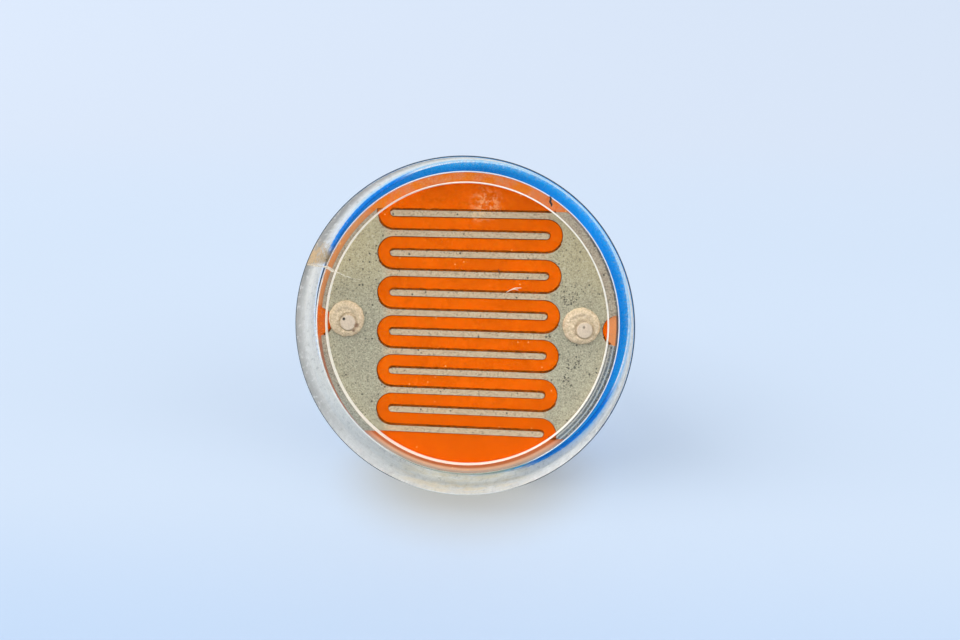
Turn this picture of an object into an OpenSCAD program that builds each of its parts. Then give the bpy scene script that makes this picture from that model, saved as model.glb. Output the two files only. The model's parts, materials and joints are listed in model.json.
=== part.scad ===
// Round photoresistor in a clear moulded cap, standing on its rim and leaning back on its two leads.
// Each piece is drawn in the component's own frame and then laid in the rest pose. In that frame the
// window lies in the plane Z = 0 and faces +Z, depths run to -Z, and the comb's fingers lie along X.

/* [Cap] */
// Outer diameter of the clear cap
cap_diameter = 13.9; // [13:0.1:16]
// Thickness of the front window
window_thickness = 1.45; // [0.6:0.05:2.5]
// Thickness of the side wall around the disc
wall_thickness = 0.51; // [0.3:0.01:1]
// Width of the inner ledge that the disc is seated on
ledge_width = 0.49; // [0.3:0.01:0.8]
// Rounding of the cap's front edge
front_edge_radius = 0.08; // [0.05:0.01:0.4]
// Rounding of the ledge's inner edge
ledge_edge_radius = 0.08; // [0.02:0.01:0.2]

/* [Disc] */
// Thickness of the ceramic disc
disc_thickness = 1; // [0.5:0.05:2]
// Gap between the disc's edge and the cap's wall
disc_clearance = 0.04; // [0.01:0.01:0.1]
// Thickness of the light-sensitive layer
layer_thickness = 0.05; // [0.02:0.01:0.1]
// Thickness of the metal film
film_thickness = 0.05; // [0.02:0.01:0.1]
// Least bare rim between the metal film and the disc's edge
film_margin = 0.02; // [0.01:0.01:0.3]
// Sideways shift of the round film on the disc
film_shift_x = 0.16; // [-0.3:0.005:0.3]
// Upward shift of the round film on the disc
film_shift_y = -0.16; // [-0.3:0.005:0.3]

/* [Comb] */
// Width of one metal finger
finger_width = 0.29; // [0.15:0.01:0.5]
// Width of the light-sensitive run between two fingers
run_width = 0.55; // [0.3:0.01:1]
// Gap between the comb's turns and the nearer contact
comb_margin = 0.11; // [0.02:0.01:0.5]
// Sideways shift of the printed comb on the disc
comb_shift_x = 0.085; // [-0.2:0.005:0.2]
// Upward shift of the printed comb on the disc
comb_shift_y = 0.07; // [-0.2:0.005:0.2]
// Radius of the bare half-round spots on the disc's edge
bare_spot_radius = 0.65; // [0.3:0.01:0.75]

/* [Contacts] */
// Diameter of a dab of cement
contact_diameter = 1.55; // [1.2:0.05:2]
// Thickness of a dab of cement
contact_thickness = 0.2; // [0.1:0.01:0.28]
// Height of the boss that the cement forms over the lead's end
boss_height = 0.32; // [0.3:0.01:0.6]
// Cement around and over the lead's end
lead_cover = 0.05; // [0.02:0.01:0.12]
// Sideways shift of a dab from its lead
contact_shift_x = -0.13; // [-0.2:0.01:0.2]
// Upward shift of a dab from its lead
contact_shift_y = 0.14; // [-0.2:0.01:0.2]
// Gap between a dab and the ledge beside it
contact_clearance = 0.045; // [0.02:0.005:0.5]
// Gap between a boss and the window
contact_headroom = 0.08; // [0.04:0.01:0.3]

/* [Leads] */
// Diameter of a lead
lead_diameter = 0.7; // [0.4:0.05:0.9]
// Length of a lead behind the cap's rim
lead_length = 26; // [18:0.5:45]
// Gap around a lead in the disc
lead_clearance = 0.05; // [0.02:0.01:0.15]

/* [Potting] */
// Depth of the resin between the disc and the cap's rim
potting_depth = 1.05; // [0.5:0.05:3]
// Thickness of the resin over the cap's rim
overflow_thickness = 0.35; // [0.15:0.05:0.8]
// Step between the resin over the rim and the cap's side
overflow_setback = 0.06; // [0.05:0.01:0.3]

/* [Hidden] */
$fn = 96;

// Cuts run past the faces that they open by this much
cut_past = 1;

// Radii, from the cap's side inward
cap_radius = cap_diameter / 2;
seat_radius = cap_radius - wall_thickness;
recess_radius = seat_radius - ledge_width;
disc_radius = seat_radius - disc_clearance;
film_radius = disc_radius - film_margin;
lead_radius = lead_diameter / 2;
lead_hole_radius = lead_radius + lead_clearance;
contact_radius = contact_diameter / 2;
boss_radius = lead_radius + lead_cover;
overflow_radius = cap_radius - overflow_setback;

// Depths behind the window's front face
recess_depth = boss_height + contact_headroom;
seat_depth = window_thickness + recess_depth;
layer_depth = seat_depth + film_thickness;
disc_depth = layer_depth + layer_thickness;
potting_front = disc_depth + disc_thickness;
cap_depth = potting_front + potting_depth;
potting_back = cap_depth + overflow_thickness;
lead_front = seat_depth - boss_height + lead_cover;
lead_back = cap_depth + lead_length;

// The leads stand as far out as the dabs on their ends can, inside the ledge
lead_x = recess_radius - contact_clearance - contact_radius - abs(contact_shift_x);

// The comb is as wide as the space between the contacts, and as tall as its lands have room for
comb_half_width = lead_x - abs(contact_shift_x) - contact_radius - comb_margin - abs(comb_shift_x);
finger_pitch = finger_width + run_width;
turn_radius = run_width + finger_width / 2;
finger_end_x = comb_half_width - turn_radius;
comb_room = sqrt(film_radius * film_radius - comb_half_width * comb_half_width) - abs(comb_shift_y);
finger_count = 2 * floor((1 + 2 * comb_room / finger_pitch) / 2);

// Rest pose: the rim's back edge and the ends of the leads lie on the ground
lean = atan((cap_radius - lead_radius) / lead_length);
ground_z = -cap_radius * cos(lean) - cap_depth * sin(lean);
front_y = -(cap_radius - front_edge_radius) * sin(lean) + front_edge_radius * (cos(lean) - 1);
back_y = lead_back * cos(lean) + lead_radius * sin(lean);

function finger_y(k) = ((finger_count - 1) / 2 - k) * finger_pitch;

// Lays a piece in the rest pose, with the origin under the middle of the whole part's box
module at_rest()
    translate([0, -(front_y + back_y) / 2, -ground_z])
        rotate([90 - lean, 0, 0])
            children();

module at_depth(depth)
    translate([0, 0, -depth])
        children();

// Round holes for both leads
module lead_holes(radius)
    for (x = [-lead_x, lead_x])
        translate([x, 0])
            circle(radius);

// Half section of the cap: radius along X, depth along -Y
module cap_section()
    difference() {
        union() {
            translate([0, -cap_depth])
                square([cap_radius, cap_depth - front_edge_radius]);
            translate([0, -front_edge_radius])
                square([cap_radius - front_edge_radius, front_edge_radius]);
            translate([cap_radius - front_edge_radius, -front_edge_radius])
                circle(front_edge_radius);
        }
        translate([0, -seat_depth])
            square([recess_radius, recess_depth]);
        translate([0, -cap_depth - cut_past])
            square([seat_radius, cap_depth + cut_past - seat_depth]);
        translate([recess_radius, -seat_depth])
            difference() {
                square(ledge_edge_radius);
                translate([ledge_edge_radius, ledge_edge_radius])
                    circle(ledge_edge_radius);
            }
    }

// One electrode's comb, rooted at +X: a land along the side, and every other finger from the top
module comb() {
    difference() {
        translate([finger_end_x, -cap_radius])
            square([cap_radius, cap_diameter]);
        for (k = [1 : 2 : finger_count - 1])
            translate([finger_end_x, finger_y(k)])
                circle(turn_radius);
        translate([0, finger_y(0) + finger_width / 2])
            square(cap_diameter);
        translate([0, finger_y(finger_count - 1) - finger_width / 2 - cap_diameter])
            square(cap_diameter);
        translate([finger_end_x, finger_y(finger_count - 1) - cap_diameter])
            square([turn_radius, cap_diameter]);
    }
    for (k = [0 : 2 : finger_count - 2])
        translate([-finger_end_x, finger_y(k)]) {
            circle(finger_width / 2);
            translate([0, -finger_width / 2])
                square([finger_end_x + cap_radius, finger_width]);
        }
}

// Metal film of one electrode: printed off the middle and kept inside the disc's edge. The left comb is the right
// one turned half round.
module electrode(turn)
    color([0.70, 0.68, 0.58])
        at_depth(layer_depth)
            linear_extrude(film_thickness)
                difference() {
                    intersection() {
                        circle(film_radius);
                        translate([film_shift_x, film_shift_y])
                            circle(film_radius);
                        translate([comb_shift_x, comb_shift_y])
                            rotate(turn)
                                comb();
                    }
                    lead_holes(lead_hole_radius);
                    for (x = [-disc_radius, disc_radius])
                        translate([x, 0])
                            circle(bare_spot_radius);
                }

// Dab of cement with a rounded edge, and the boss that it forms over the lead's end
module contact(x)
    color([0.87, 0.80, 0.68])
        translate([x, 0, -seat_depth])
            difference() {
                union() {
                    translate([contact_shift_x, contact_shift_y, 0])
                        rotate_extrude()
                            intersection() {
                                square([contact_radius, contact_thickness]);
                                union() {
                                    square([contact_radius - contact_thickness, contact_thickness]);
                                    translate([contact_radius - contact_thickness, 0])
                                        circle(contact_thickness);
                                }
                            }
                    cylinder(r = boss_radius, h = boss_height);
                }
                translate([0, 0, -cut_past])
                    cylinder(r = lead_radius, h = cut_past + boss_height - lead_cover);
            }

module lead(x)
    color([0.78, 0.78, 0.76])
        translate([x, 0, -lead_back])
            cylinder(r = lead_radius, h = lead_back - lead_front);

module clear_cap()
    color([0.88, 0.93, 0.95, 0.35])
        rotate_extrude()
            cap_section();

module ceramic_disc()
    color([0.92, 0.91, 0.87])
        at_depth(potting_front)
            linear_extrude(disc_thickness)
                difference() {
                    circle(disc_radius);
                    lead_holes(lead_hole_radius);
                }

module photo_layer()
    color([0.91, 0.38, 0.03])
        at_depth(disc_depth)
            linear_extrude(layer_thickness)
                difference() {
                    circle(disc_radius);
                    lead_holes(lead_hole_radius);
                }

// Resin in the cup behind the disc, spread over the end of the rim with a rounded edge
module potting()
    color([0.05, 0.42, 0.85])
        difference() {
            rotate_extrude()
                union() {
                    translate([0, -cap_depth])
                        square([seat_radius, potting_depth]);
                    translate([0, -potting_back])
                        intersection() {
                            square([overflow_radius, overflow_thickness]);
                            union() {
                                square([overflow_radius - overflow_thickness, overflow_thickness]);
                                translate([overflow_radius - overflow_thickness, overflow_thickness])
                                    circle(overflow_thickness);
                            }
                        }
                }
            at_depth(potting_back + cut_past)
                linear_extrude(potting_back + cut_past)
                    lead_holes(lead_radius);
        }

at_rest() clear_cap();
at_rest() ceramic_disc();
at_rest() photo_layer();
at_rest() electrode(180);  // electrode_left
at_rest() electrode(0);  // electrode_right
at_rest() contact(-lead_x);  // contact_left
at_rest() contact(lead_x);  // contact_right
at_rest() lead(-lead_x);  // lead_left
at_rest() lead(lead_x);  // lead_right
at_rest() potting();
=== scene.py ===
"""Looks of a round photoresistor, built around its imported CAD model.

Every shape is worked out in the component's own frame, in millimetres: x to the right and y up along the
window's face, and depth behind it. lay() carries such points to the row frame, in metres.
"""

import json
import math
from types import SimpleNamespace

import bmesh
import bpy
import numpy as np
from mathutils import Matrix, Vector


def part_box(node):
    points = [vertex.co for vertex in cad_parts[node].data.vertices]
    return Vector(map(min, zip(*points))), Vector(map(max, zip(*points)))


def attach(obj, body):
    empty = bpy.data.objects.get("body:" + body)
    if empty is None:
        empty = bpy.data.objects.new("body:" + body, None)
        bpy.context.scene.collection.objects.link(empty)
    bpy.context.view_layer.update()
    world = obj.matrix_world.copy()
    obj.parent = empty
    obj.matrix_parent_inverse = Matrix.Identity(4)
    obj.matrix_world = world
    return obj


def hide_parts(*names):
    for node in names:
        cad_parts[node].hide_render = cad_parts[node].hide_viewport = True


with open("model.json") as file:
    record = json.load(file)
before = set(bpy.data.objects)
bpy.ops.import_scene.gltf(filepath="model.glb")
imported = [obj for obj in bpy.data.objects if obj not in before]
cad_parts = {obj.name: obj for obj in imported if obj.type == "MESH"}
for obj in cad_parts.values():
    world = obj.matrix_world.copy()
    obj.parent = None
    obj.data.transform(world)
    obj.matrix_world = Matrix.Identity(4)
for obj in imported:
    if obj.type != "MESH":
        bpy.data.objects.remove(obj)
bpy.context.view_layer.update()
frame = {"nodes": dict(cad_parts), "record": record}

bl_info = {
    "name": "Photoresistor",
    "version": (1, 0, 0),
    "blender": (4, 5, 0),
    "location": "3D View > Sidebar > Photoresistor",
    "description": "Dresses the packed CAD model of a round photoresistor in a clear cap",
    "category": "Object",
}

BODY = "root"
MM = 0.001
FULL_TURN = 2 * math.pi
WINDOW = next(m for m in frame["record"]["mounts"] if m["name"] == "window_face")
CENTRE = np.array(WINDOW["pos_m"], float)
OUTWARD = np.array(WINDOW["axis"], float) / np.linalg.norm(WINDOW["axis"])
RIGHT = np.array([1.0, 0.0, 0.0])
UPWARD = np.cross(OUTWARD, RIGHT)


def lay(points):
    """Points (x, y, depth) in millimetres: the window's centre plus x to the right, y up and depth inward."""
    points = np.asarray(points, float)
    across = points[..., 0:1] * RIGHT + points[..., 1:2] * UPWARD
    return CENTRE + MM * (across - points[..., 2:3] * OUTWARD)


def radii_and_depths(places):
    """Distance from the axis and depth behind the window, in millimetres, of points in the row frame."""
    offsets = (places.reshape(-1, 3) - CENTRE) / MM
    return np.hypot(offsets @ RIGHT, offsets @ UPWARD), -offsets @ OUTWARD


def reach(node):
    """Front depth, back depth and outermost radius of a CAD node in millimetres, from its vertices."""
    mesh = frame["nodes"][node].data
    places = np.empty(len(mesh.vertices) * 3)
    mesh.vertices.foreach_get("co", places)
    radii, depths = radii_and_depths(places)
    return depths.min(), depths.max(), radii.max()


CAP_BACK, CAP_RADIUS = reach("clear_cap")[1:]
FILM_FRONT, FILM_BACK = reach("electrode_right")[:2]
DISC_BACK, DISC_RADIUS = reach("ceramic_disc")[1:]
RESIN_BACK, RESIN_RADIUS = reach("potting")[1:]
LEAD_BACK = reach("lead_right")[1]
DAB_FRONT = reach("contact_right")[0]
LEAD_LOW, LEAD_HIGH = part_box("lead_right")
LEAD_X = (LEAD_LOW.x + LEAD_HIGH.x) / 2 / MM
LEAD_RADIUS = (LEAD_HIGH.x - LEAD_LOW.x) / 2 / MM

# Radius of the ledge's inner edge, up to which the face lies open
RECESS_RADIUS = 5.95

# The comb's fingers, where their round ends start, and how far the print lies off the disc's middle
FINGER_COUNT = 12
FINGER_END = 3.205
COMB_SHIFT = np.array([0.085, 0.07])

# Radius of the bare half-round spots on the disc's edge
BARE_SPOT = 0.65

# A dab's thickness and its shift from its lead, and the place of the pit in each boss
DAB_THICKNESS = 0.20
DAB_SHIFT = (-0.13, 0.14)
PIT_LEFT = (-0.17, 0.15)
PIT_RIGHT = (-0.03, 0.12)

# Gap that keeps a piece's face from coinciding with the one that it lies on
FACE_GAP = 0.004


def length(label, text, millimetres):
    """A size that a user may change, kept in metres."""
    return number(label, text, millimetres * MM, min=0.0, precision=6, unit="LENGTH")


def number(label, text, default, **more):
    """A number that a user may change."""
    return bpy.props.FloatProperty(name=label, description=text, default=default, **more)


def colour(label, text, red, green, blue):
    """A colour that a user may change, in linear values."""
    return bpy.props.FloatVectorProperty(
        name=label, description=text, default=(red, green, blue), min=0.0, max=1.0, size=3, subtype="COLOR"
    )


class CellSizes(bpy.types.PropertyGroup):
    """Sizes of the pieces, with defaults from the CAD model where it gives them."""

    cap_radius: length("Cap radius", "Outer radius of the clear cap", CAP_RADIUS)
    cap_depth: length("Cap depth", "Depth of the cap from its window to its rim", CAP_BACK)
    window: length("Window", "Thickness of the front window", 1.45)
    seat_radius: length("Seat radius", "Radius of the wall around the disc", DISC_RADIUS + 0.04)
    recess_radius: length("Recess radius", "Radius of the ledge's inner edge", RECESS_RADIUS)
    seat_depth: length("Seat depth", "Depth of the ledge that the disc is seated on", FILM_FRONT)
    front_rounding: length("Front rounding", "Rounding of the cap's front edge", 0.08)
    ledge_rounding: length("Ledge rounding", "Rounding of the ledge's inner edge", 0.08)
    seat_rounding: length("Seat rounding", "Rounding in the corner of the seat, clear of the disc", 0.035)
    finger_width: length("Finger width", "Width of one metal finger of the comb", 0.29)
    run_width: length("Run width", "Width of the light-sensitive run between two fingers", 0.55)
    bleed_and_shade_width: length("Bleed width", "Width of the dark bleed along the film's edge", 0.07)
    dab_radius: length("Dab radius", "Radius of a dab of cement", 0.775)
    wire_radius: length("Wire radius", "Radius of a lead", LEAD_RADIUS)
    resin_radius: length("Resin radius", "Outer radius of the resin over the rim", RESIN_RADIUS)


class CellColours(bpy.types.PropertyGroup):
    """Colours of the finishes."""

    clear: colour("Clear plastic", "Tint of the clear cap", 0.98, 0.987, 0.985)
    scuffed: colour("Scuffed plastic", "Tint of the scuffed side wall", 0.93, 0.945, 0.92)
    stain: colour("Stain", "Ochre stain beside the crack", 0.66, 0.47, 0.27)
    orange: colour("Orange layer", "Light-sensitive layer", 0.74, 0.100, 0.0)
    film: colour("Grey film", "Metal film of the electrodes", 0.355, 0.333, 0.240)
    bleed_and_shade: colour("Film edge", "Dark bleed along the film's edge", 0.10, 0.026, 0.002)
    cement: colour("Cement", "Dried conductive cement", 0.70, 0.55, 0.36)
    ceramic: colour("Ceramic", "Substrate of the cell", 0.80, 0.78, 0.72)
    wire: colour("Tinned wire", "Leads", 0.66, 0.66, 0.64)
    resin: colour("Blue resin", "Cast resin behind the disc", 0.0, 0.35, 0.87)


class StageSettings(bpy.types.PropertyGroup):
    """Camera and light."""

    azimuth: number("Azimuth", "Turn of the camera to the right of straight ahead", math.radians(5.29),
                    subtype="ANGLE", unit="ROTATION")
    elevation: number("Elevation", "Height of the camera above the horizon", math.radians(20.52),
                      subtype="ANGLE", unit="ROTATION")
    distance: length("Distance", "Camera to the window, along the line of sight", 31.0)
    shift_right: length("Shift right", "Camera's place to the right of that line", 0.74)
    shift_up: length("Shift up", "Camera's place above that line", 0.384)
    lens: number("Lens", "Focal length of the camera on a 36 mm sensor", 28.63, min=1.0)
    floor: colour("Floor", "Pale sweep under and behind the part", 0.49, 0.575, 0.695)
    floor_glow: number("Floor glow", "Share of the floor's light that comes from below", 0.40,
                       min=0.0, max=1.0)
    sky: colour("Surroundings", "Colour of the light from all round", 0.92, 0.96, 1.0)
    sky_strength: number("Surroundings strength", "Strength of the light from all round", 0.80, min=0.0)
    key_power: number("Key power", "Power of the soft light from the left", 7.0, min=0.0, unit="POWER")
    fill_power: number("Fill power", "Power of the soft light from the right", 2.5, min=0.0, unit="POWER")


def in_millimetres(sizes):
    """The sizes as plain numbers in millimetres."""
    return SimpleNamespace(**{name: getattr(sizes, name) / MM for name in CellSizes.__annotations__})


# Meshes from grids of points


def ring(steps):
    """Angles evenly round a full turn."""
    return np.linspace(0, FULL_TURN, steps, endpoint=False)


def placed(name, data):
    """A new object in the scene."""
    piece = bpy.data.objects.new(name, data)
    bpy.context.scene.collection.objects.link(piece)
    return piece


def grid_faces(rows, columns, around=True):
    """Four-sided faces between neighbouring rows and columns; the columns close on themselves if around."""
    last = columns if around else columns - 1
    row, column = np.meshgrid(np.arange(rows - 1), np.arange(last), indexing="ij")
    across = (column + 1) % columns
    corners = [row * columns + column, row * columns + across, (row + 1) * columns + across,
               (row + 1) * columns + column]
    return np.stack(corners, -1).reshape(-1, 4)


def shell(name, points, sharp=30.0):
    """A closed piece from rows of points that each run all the way round. The first and last rows are closed
    by their own faces, or meet in one point each. Doubles are merged and the faces turned outward."""
    rows, columns = points.shape[:2]
    faces = grid_faces(rows, columns).tolist()
    for row in (0, rows - 1):
        if np.ptp(points[row], axis=0).max() > 1e-9:
            faces.append(list(range(row * columns, (row + 1) * columns)))
    mesh = bpy.data.meshes.new(name)
    mesh.from_pydata(lay(points).reshape(-1, 3).tolist(), [], faces)
    work = bmesh.new()
    work.from_mesh(mesh)
    bmesh.ops.remove_doubles(work, verts=work.verts, dist=1e-8)
    bmesh.ops.recalc_face_normals(work, faces=work.faces)
    work.to_mesh(mesh)
    work.free()
    mesh.polygons.foreach_set("use_smooth", np.ones(len(mesh.polygons), bool))
    mesh.set_sharp_from_angle(angle=math.radians(sharp))
    return placed(name, mesh)


def turned(name, radius, depth, steps, sharp=30.0):
    """A profile of radius and depth carried round the axis. Either may also change with the angle."""
    angle = ring(steps)
    radius = np.broadcast_to(np.reshape(radius, (len(radius), -1)), (len(radius), steps))
    depth = np.broadcast_to(np.reshape(depth, (len(depth), -1)), (len(depth), steps))
    return shell(name, np.stack([radius * np.cos(angle), radius * np.sin(angle), depth], -1), sharp)


def quarter(centre_radius, centre_depth, rounding, start, end, flat=1.0):
    """Points on an arc of a profile: its centre plus the rounding times the cosine and sine of the angle.
    The flat share makes it less deep."""
    angle = np.radians(np.linspace(start, end, 9))
    radii = centre_radius + rounding * np.cos(angle)
    return np.stack([radii, centre_depth + flat * rounding * np.sin(angle)], -1)


def carried(name, line, depth, side, front, sharp=60.0):
    """A closed profile carried along a line at a depth. At each place of the line the profile's points lie
    side to the left of the line's direction and front towards the window."""
    run = np.gradient(line, axis=0)
    run /= np.linalg.norm(run, axis=1, keepdims=True)
    left = np.stack([-run[:, 1], run[:, 0]], -1)
    points = np.empty(np.broadcast(side, front).shape + (3,))
    points[..., :2] = line[:, None] + side[..., None] * left[:, None, :]
    points[..., 2] = depth - front
    return shell(name, points, sharp)


def wander(steps, seed, waves=6, lowest=2):
    """Smooth irregular values round a full turn: a sum of a few sines of random phase, from about -1 to 1."""
    random = np.random.default_rng(seed)
    angle = ring(steps)
    counts = lowest + np.arange(waves) * 3
    phase = random.uniform(0, FULL_TURN, waves)
    share = random.uniform(0.4, 1.0, waves)
    return (share[:, None] * np.sin(counts[:, None] * angle + phase[:, None])).sum(0) / share.sum() * 1.6


def rise(value, low, high):
    """A smooth step from 0 at low to 1 at high."""
    part = np.clip((value - low) / (high - low), 0, 1)
    return part * part * (3 - 2 * part)


# Finishes

# Refraction of the clear plastic, and the tint that dulls its reflections
PLASTIC_IOR = 1.49
DULL_REFLECTION = (0.05, 0.05, 0.05)

# Tints of the cap's edges, wall and crack, in linear values, with painted highlight, shade, light and
# reflection among them
RING_HIGHLIGHT = (1.0, 0.975, 0.92)
CORNER_SHADE = (0.32, 0.37, 0.30)
EDGE_SHADE = (0.05, 0.065, 0.075)
WALL_PAINTED_LIGHT = (0.98, 0.95, 0.88)
WALL_BRIGHT = (0.99, 0.99, 0.97)
WALL_YELLOW = (0.82, 0.70, 0.46)
WALL_DIRT = (0.16, 0.15, 0.11)
RESIN_BLUE_REFLECTION = (0.22, 0.76, 1.0)
BLUE_CREEP = (0.0, 0.35, 0.86)
RIM_CLEAR = (0.98, 0.99, 1.0)
CRACK_PALE = (0.95, 0.93, 0.86)
CRACK_WARM = (0.85, 0.78, 0.62)

# Tints on the face: the orange layer, its bands and veils of painted light and shade under the ledge,
# the film and the dried smear
ORANGE_GRAIN = (0.90, 0.22, 0.01)
ORANGE_SPECK = (0.97, 0.60, 0.22)
VEIL_PEACH = (0.78, 0.33, 0.15)
VEIL_ORANGE = (0.84, 0.30, 0.04)
SIDE_OCHRE = (0.56, 0.31, 0.15)
SIDE_BROWN = (0.27, 0.21, 0.17)
SPOT_PEACH = (0.80, 0.38, 0.17)
BAND_RUST = (0.43, 0.13, 0.05)
BAND_PALE = (0.64, 0.41, 0.27)
BAND_GREY = (0.38, 0.34, 0.28)
EDGE_SHADOW = (0.05, 0.055, 0.065)
FILM_BLUISH = (0.15, 0.25, 0.36)
LINE_PALE = (0.52, 0.55, 0.56)
BLEED_WARM = (0.26, 0.055, 0.004)
SMEAR_ON_ORANGE = (0.93, 0.55, 0.24)
SMEAR_ON_FILM = (0.93, 0.62, 0.33)

# Tints of the cement, the resin and the fibres
CEMENT_DARK = (0.40, 0.30, 0.19)
CEMENT_PALE = (0.90, 0.76, 0.60)
BOSS_GREY = (0.60, 0.50, 0.42)
GROOVE_SHADE = (0.22, 0.16, 0.10)
STAIN_BROWN = (0.20, 0.10, 0.05)
PIT_SHADE = (0.03, 0.022, 0.015)
RESIN_DEEP = (0.0, 0.05, 0.20)
RESIN_CYAN = (0.02, 0.50, 0.88)
RESIN_PALE = (0.05, 0.42, 0.90)
RESIN_CHALK = (0.86, 0.85, 0.80)
RESIN_SHADOW = (0.05, 0.07, 0.12)
HAIR_DARK = (0.012, 0.010, 0.010)
FIBRE_PALE = (0.97, 0.84, 0.62)

# Turn per millimetre, in radians, of the painted lines of light and shade in the film under the ledge
LINE_TURN = 42.0

# Brightness of the open floor as a multiple of its colour, and how much more shines up under the part
FLOOR_LIGHT = 1.36
UNDERLIGHT = 2.6


class Finish:
    """A material and short ways to wire its nodes. A value may be a number, a colour or another node's
    output. right, up and out give the place in the component's frame, and tint is the colour so far."""

    def __init__(self, name):
        self.material = bpy.data.materials.new(name)
        self.material.use_nodes = True
        self.nodes = self.material.node_tree.nodes
        self.shader = self.nodes["Principled BSDF"]
        self.output = self.nodes["Material Output"]
        self.place = self.component_place()
        self.right, self.up, self.out = self.parts(self.place)
        self.tint = None

    def wire(self, value, socket):
        if isinstance(value, bpy.types.NodeSocket):
            self.material.node_tree.links.new(value, socket)
        elif isinstance(value, (int, float)):
            socket.default_value = value
        else:
            values = tuple(value)
            socket.default_value = values + (1.0,) * (len(socket.default_value) - len(values))

    def node(self, kind, inputs=None, **settings):
        """A new shader node with its inputs set or wired."""
        made = self.nodes.new("ShaderNode" + kind)
        for name, value in settings.items():
            setattr(made, name, value)
        for key, value in (inputs or {}).items():
            self.wire(value, made.inputs[key])
        return made

    def set(self, **values):
        """Sets or wires the main shader's inputs; an underscore in a name stands for a space."""
        for name, value in values.items():
            self.wire(value, self.shader.inputs[name.replace("_", " ")])
        return self

    def component_place(self):
        """Object coordinates turned into the component's frame, in millimetres: right, up and outward."""
        turn = math.atan2(UPWARD[2], UPWARD[1])
        upright = Matrix.Rotation(-turn, 3, "X")
        world = self.node("TexCoord").outputs["Object"]
        return self.node("Mapping", {
            "Vector": world, "Scale": (1 / MM,) * 3, "Rotation": (-turn, 0, 0),
            "Location": -(upright @ Vector(CENTRE / MM)),
        }).outputs["Vector"]

    def stretched(self, x, y, z, place=None):
        return self.node("Mapping", {"Vector": place or self.place, "Scale": (x, y, z)}).outputs[0]

    def noise(self, scale, detail=2.0, roughness=0.5, place=None):
        return self.node("TexNoise", {"Vector": place or self.place, "Scale": scale, "Detail": detail,
                                      "Roughness": roughness}).outputs[0]

    def cells(self, scale):
        """Distance to the nearest of randomly placed points, and a random value for each point."""
        made = self.node("TexVoronoi", {"Vector": self.place, "Scale": scale})
        return made.outputs["Distance"], self.parts(made.outputs["Color"])[0]

    def parts(self, vector):
        return self.node("SeparateXYZ", {"Vector": vector}).outputs

    def math(self, operation, *values):
        """One operation on the values, carried from the first to the last."""
        total = values[0]
        for value in values[1:] or (0.0,):
            total = self.node("Math", {0: total, 1: value}, operation=operation).outputs[0]
        return total

    def times(self, *values):
        return values[0] if len(values) == 1 else self.math("MULTIPLY", *values)

    def plus(self, *values):
        return self.math("ADD", *values)

    def minus(self, first, second):
        return self.math("SUBTRACT", first, second)

    def most(self, *values):
        return self.math("MAXIMUM", *values)

    def step(self, value, low, high, start=0.0, end=1.0):
        """A smooth step from the start at low to the end at high."""
        return self.node("MapRange", {"Value": value, "From Min": low, "From Max": high, "To Min": start,
                                      "To Max": end}, interpolation_type="SMOOTHSTEP").outputs[0]

    def blend(self, factor, first, second):
        return self.node("Mix", {0: factor, 6: first, 7: second}, data_type="RGBA").outputs[2]

    def paint(self, tint, *shares):
        """Blends the colour so far towards a tint by the product of the shares."""
        self.tint = self.blend(self.times(*shares), self.tint, tint)

    def mixed(self, share, first, second):
        """Two shaders mixed, with a share of the second."""
        return self.node("MixShader", {0: share, 1: first, 2: second}).outputs[0]

    def gap(self, x, y):
        """Distance from a place on the face in millimetres, whatever the depth."""
        along, above = self.minus(self.right, x), self.minus(self.up, y)
        return self.math("SQRT", self.plus(self.times(along, along), self.times(above, above)))

    def near(self, x, y, inner, outer):
        """1 within the inner distance of a place on the face, falling to 0 at the outer distance."""
        return self.step(self.gap(x, y), inner, outer, 1.0, 0.0)

    def near_leads(self, inner, outer):
        return self.most(self.near(LEAD_X, 0.0, inner, outer), self.near(-LEAD_X, 0.0, inner, outer))

    def radius(self):
        """Distance from the axis in millimetres."""
        return self.gap(0.0, 0.0)

    def angle(self):
        """Angle at the axis, from the right and upward."""
        return self.math("ARCTAN2", self.up, self.right)

    def under_ledge(self):
        """Share of the face that lies under the cap's ledge."""
        return self.step(self.radius(), 5.97, 6.04)

    def dark_rim(self):
        """Share of the dark line along the disc's edge at the right, in the edge's own shadow."""
        return self.times(self.step(self.radius(), 6.29, 6.34), self.step(self.right, 3.6, 5.4, 0.0, 0.85))

    def loose(self):
        """Share of the lower left, where the resin has come away from the cap's wall."""
        angle = self.angle()
        return self.times(self.step(angle, -2.95, -2.75), self.step(angle, -1.18, -1.38))

    def pits(self, scale, outer, inner, limit):
        """Round pits at randomly placed points, where a point's random value is past a limit."""
        gap, chance = self.cells(scale)
        return self.times(self.step(gap, outer, inner), self.math("GREATER_THAN", chance, limit))

    def smear(self):
        """Share of the pale dried smear near the top of the face."""
        patch = self.noise(5.5, 5.0, 0.75)
        upper = self.times(self.near(0.75, 5.10, 0.15, 0.90), self.step(patch, 0.46, 0.60))
        lower = self.times(self.near(0.45, 4.65, 0.05, 0.45), self.step(patch, 0.42, 0.58))
        return self.most(upper, lower)

    def pass_light(self, surface, share):
        """Lets a share of each lamp's light through unbent, so that what is under the plastic is lit."""
        shadow = self.times(self.node("LightPath").outputs["Is Shadow Ray"], share)
        open_way = self.node("BsdfTransparent").outputs[0]
        self.wire(self.mixed(shadow, surface, open_way), self.output.inputs["Surface"])
        return self

    def bump(self, height, millimetres):
        made = self.node("Bump", {"Height": height, "Strength": 1.0, "Distance": millimetres * MM})
        self.wire(made.outputs[0], self.shader.inputs["Normal"])
        return self


def scaled(tint, *shares):
    """A tint with all its parts multiplied by one share, or each by its own."""
    return tuple(part * share for part, share in zip(tint, shares * 3 if len(shares) == 1 else shares))


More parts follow.
